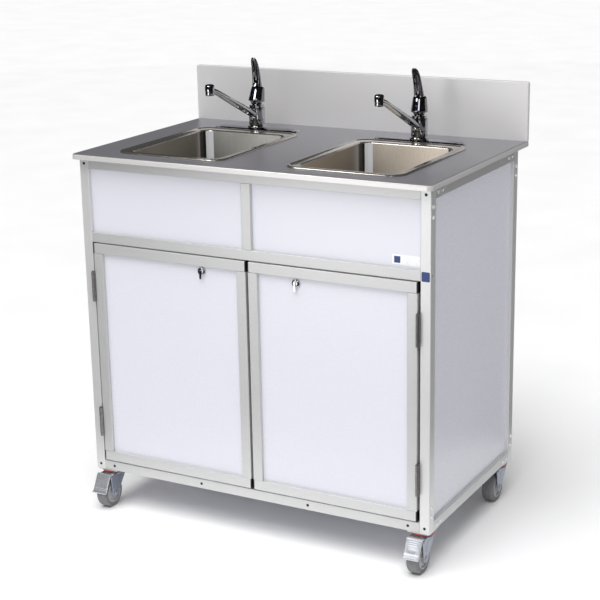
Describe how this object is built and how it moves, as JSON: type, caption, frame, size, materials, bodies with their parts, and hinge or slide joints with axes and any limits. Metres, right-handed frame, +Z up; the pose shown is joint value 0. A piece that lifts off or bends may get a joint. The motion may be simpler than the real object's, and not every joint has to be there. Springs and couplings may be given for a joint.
{
  "type": "portable handwash sink",
  "caption": "Portable handwash sink on swivel casters: white-panelled aluminium cabinet with doors, countertop, backsplash, drop-in bowls and lever faucets.",
  "frame": {"origin": "on the floor, under the centre of the overall box", "axes": "+X to the user's right, +Y towards the backsplash, +Z up"},
  "size_m": [0.943, 0.6093, 1.1006],
  "materials": {
    "frame_aluminium": "satin anodised square tube",
    "white_panel": "semi-gloss white sheet with a faint cool tint",
    "counter_laminate": "grey metal-look satin laminate",
    "splash_laminate": "light grey metal-look satin laminate",
    "sink_steel": "brushed stainless steel",
    "chrome": "polished chrome plate",
    "hinge_steel": "dull rolled steel",
    "zinc_steel": "bright zinc-plated pressed steel",
    "bright_screws": "bright nickel-plated pan head",
    "dark_screws": "black oxide",
    "black_plastic": "moulded black plastic",
    "orange_ring": "moulded orange-red plastic",
    "wheel_rubber": "grey non-marking tread on a moulded hub",
    "fresh_tank_plastic": "translucent-looking natural polyethylene",
    "waste_tank_plastic": "grey polyethylene",
    "cap_plastic": "blue moulded screw cap",
    "heater_enamel": "white enamel",
    "supply_hose": "braided flexible hose",
    "drain_hose": "black flexible hose"
  },
  "bodies": {
    "cabinet": {"frame_posts": "frame_aluminium", "front_rails": "frame_aluminium", "rear_rails": "frame_aluminium", "side_rails": "frame_aluminium", "corner_brackets": "zinc_steel", "side_screws": "bright_screws", "front_screws": "dark_screws", "upper_panels": "white_panel", "side_panels": "white_panel", "rear_panel": "white_panel", "floor_panel": "white_panel", "countertop": "counter_laminate", "backsplash": "splash_laminate", "drain_fittings": "sink_steel", "faucet_bodies": "chrome", "post_hinge_leaves": "hinge_steel", "caster_plates": "zinc_steel", "dust_rings": "orange_ring", "fresh_tank": "fresh_tank_plastic", "waste_tank": "waste_tank_plastic", "water_heater": "heater_enamel", "pump": "black_plastic", "supply_hoses": "supply_hose", "drain_hoses": "drain_hose", "power_inlet": "black_plastic", "left_sink": "sink_steel", "right_sink": "sink_steel"},
    "left_door": {"left_door_frame": "frame_aluminium", "left_door_panel": "white_panel", "left_door_caps": "black_plastic", "left_hinge_leaves": "hinge_steel", "left_lock_housing": "chrome"},
    "left_lock": {"left_lock_plug": "chrome"},
    "left_spout_arm": {"left_spout": "chrome"},
    "left_valve": {"left_cartridge": "chrome"},
    "left_lever": {"left_handle": "chrome"},
    "left_basket": {"left_strainer": "sink_steel"},
    "right_door": {"right_door_frame": "frame_aluminium", "right_door_panel": "white_panel", "right_door_caps": "black_plastic", "right_hinge_leaves": "hinge_steel", "right_lock_housing": "chrome"},
    "right_lock": {"right_lock_plug": "chrome"},
    "right_spout_arm": {"right_spout": "chrome"},
    "right_valve": {"right_cartridge": "chrome"},
    "right_lever": {"right_handle": "chrome"},
    "right_basket": {"right_strainer": "sink_steel"},
    "front_left_caster": {"front_left_fork": "zinc_steel"},
    "front_left_roller": {"front_left_wheel": "wheel_rubber"},
    "front_right_caster": {"front_right_fork": "zinc_steel"},
    "front_right_roller": {"front_right_wheel": "wheel_rubber"},
    "rear_left_caster": {"rear_left_fork": "zinc_steel"},
    "rear_left_roller": {"rear_left_wheel": "wheel_rubber"},
    "rear_right_caster": {"rear_right_fork": "zinc_steel"},
    "rear_right_roller": {"rear_right_wheel": "wheel_rubber"},
    "left_brake": {"left_brake_pedal": "zinc_steel"},
    "right_brake": {"right_brake_pedal": "zinc_steel"},
    "fresh_tank_lid": {"fresh_cap": "cap_plastic"},
    "waste_tank_lid": {"waste_cap": "cap_plastic"},
    "heater_switch": {"rocker_switch": "black_plastic"}
  },
  "joints": [
    {"name": "left_door_swing", "type": "hinge", "parent": "cabinet", "child": "left_door", "pos_m": [-0.4345, -0.2705, 0.408], "axis": [0, 0, -1], "range_deg": [0, 170]},
    {"name": "left_lock_turn", "type": "hinge", "parent": "left_door", "child": "left_lock", "pos_m": [-0.1265, -0.2525, 0.6545], "axis": [0, 1, 0], "range_deg": [0, 90]},
    {"name": "left_spout_swivel", "type": "hinge", "parent": "cabinet", "child": "left_spout_arm", "pos_m": [-0.229, 0.1925, 0.955], "axis": [0, 0, 1], "range_deg": [-90, 90]},
    {"name": "left_temperature_turn", "type": "hinge", "parent": "cabinet", "child": "left_valve", "pos_m": [-0.229, 0.1925, 0.972], "axis": [0, 0, 1], "range_deg": [-45, 45]},
    {"name": "left_lever_lift", "type": "hinge", "parent": "left_valve", "child": "left_lever", "pos_m": [-0.229, 0.1925, 0.991], "axis": [-1, 0, 0], "range_deg": [-10, 10]},
    {"name": "left_basket_lift", "type": "slide", "parent": "cabinet", "child": "left_basket", "axis": [0, 0, 1], "range_m": [0, 0.06]},
    {"name": "right_door_swing", "type": "hinge", "parent": "cabinet", "child": "right_door", "pos_m": [0.4345, -0.2705, 0.408], "axis": [0, 0, 1], "range_deg": [0, 170]},
    {"name": "right_lock_turn", "type": "hinge", "parent": "right_door", "child": "right_lock", "pos_m": [0.1265, -0.2525, 0.6545], "axis": [0, -1, 0], "range_deg": [0, 90]},
    {"name": "right_spout_swivel", "type": "hinge", "parent": "cabinet", "child": "right_spout_arm", "pos_m": [0.229, 0.1925, 0.955], "axis": [0, 0, 1], "range_deg": [-90, 90]},
    {"name": "right_temperature_turn", "type": "hinge", "parent": "cabinet", "child": "right_valve", "pos_m": [0.229, 0.1925, 0.972], "axis": [0, 0, 1], "range_deg": [-45, 45]},
    {"name": "right_lever_lift", "type": "hinge", "parent": "right_valve", "child": "right_lever", "pos_m": [0.229, 0.1925, 0.991], "axis": [-1, 0, 0], "range_deg": [0, 20]},
    {"name": "right_basket_lift", "type": "slide", "parent": "cabinet", "child": "right_basket", "axis": [0, 0, 1], "range_m": [0, 0.06]},
    {"name": "front_left_swivel", "type": "hinge", "parent": "cabinet", "child": "front_left_caster", "pos_m": [-0.432, -0.2325, 0.09], "axis": [0, 0, 1], "continuous": true},
    {"name": "front_left_roll", "type": "hinge", "parent": "front_left_caster", "child": "front_left_roller", "pos_m": [-0.432, -0.2575, 0.0375], "axis": [1, 0, 0], "continuous": true},
    {"name": "front_right_swivel", "type": "hinge", "parent": "cabinet", "child": "front_right_caster", "pos_m": [0.432, -0.2325, 0.09], "axis": [0, 0, 1], "continuous": true},
    {"name": "front_right_roll", "type": "hinge", "parent": "front_right_caster", "child": "front_right_roller", "pos_m": [0.432, -0.2575, 0.0375], "axis": [1, 0, 0], "continuous": true},
    {"name": "rear_left_swivel", "type": "hinge", "parent": "cabinet", "child": "rear_left_caster", "pos_m": [-0.432, 0.2275, 0.09], "axis": [0, 0, 1], "continuous": true},
    {"name": "rear_left_roll", "type": "hinge", "parent": "rear_left_caster", "child": "rear_left_roller", "pos_m": [-0.432, 0.2025, 0.0375], "axis": [1, 0, 0], "continuous": true},
    {"name": "rear_right_swivel", "type": "hinge", "parent": "cabinet", "child": "rear_right_caster", "pos_m": [0.432, 0.2275, 0.09], "axis": [0, 0, 1], "continuous": true},
    {"name": "rear_right_roll", "type": "hinge", "parent": "rear_right_caster", "child": "rear_right_roller", "pos_m": [0.432, 0.2025, 0.0375], "axis": [1, 0, 0], "continuous": true},
    {"name": "left_brake_press", "type": "hinge", "parent": "front_left_caster", "child": "left_brake", "pos_m": [-0.432, -0.2715, 0.084], "axis": [1, 0, 0], "range_deg": [0, 5]},
    {"name": "right_brake_press", "type": "hinge", "parent": "front_right_caster", "child": "right_brake", "pos_m": [0.432, -0.2715, 0.084], "axis": [1, 0, 0], "range_deg": [0, 5]},
    {"name": "fresh_cap_turn", "type": "hinge", "parent": "cabinet", "child": "fresh_tank_lid", "pos_m": [-0.34, -0.12, 0.5], "axis": [0, 0, 1], "range_deg": [0, 360]},
    {"name": "waste_cap_turn", "type": "hinge", "parent": "cabinet", "child": "waste_tank_lid", "pos_m": [0.34, -0.12, 0.5], "axis": [0, 0, 1], "range_deg": [0, 360]},
    {"name": "heater_switch_rock", "type": "hinge", "parent": "cabinet", "child": "heater_switch", "pos_m": [0.33, 0.2465, 0.23], "axis": [0, 0, -1], "range_deg": [0, 12]}
  ]
}
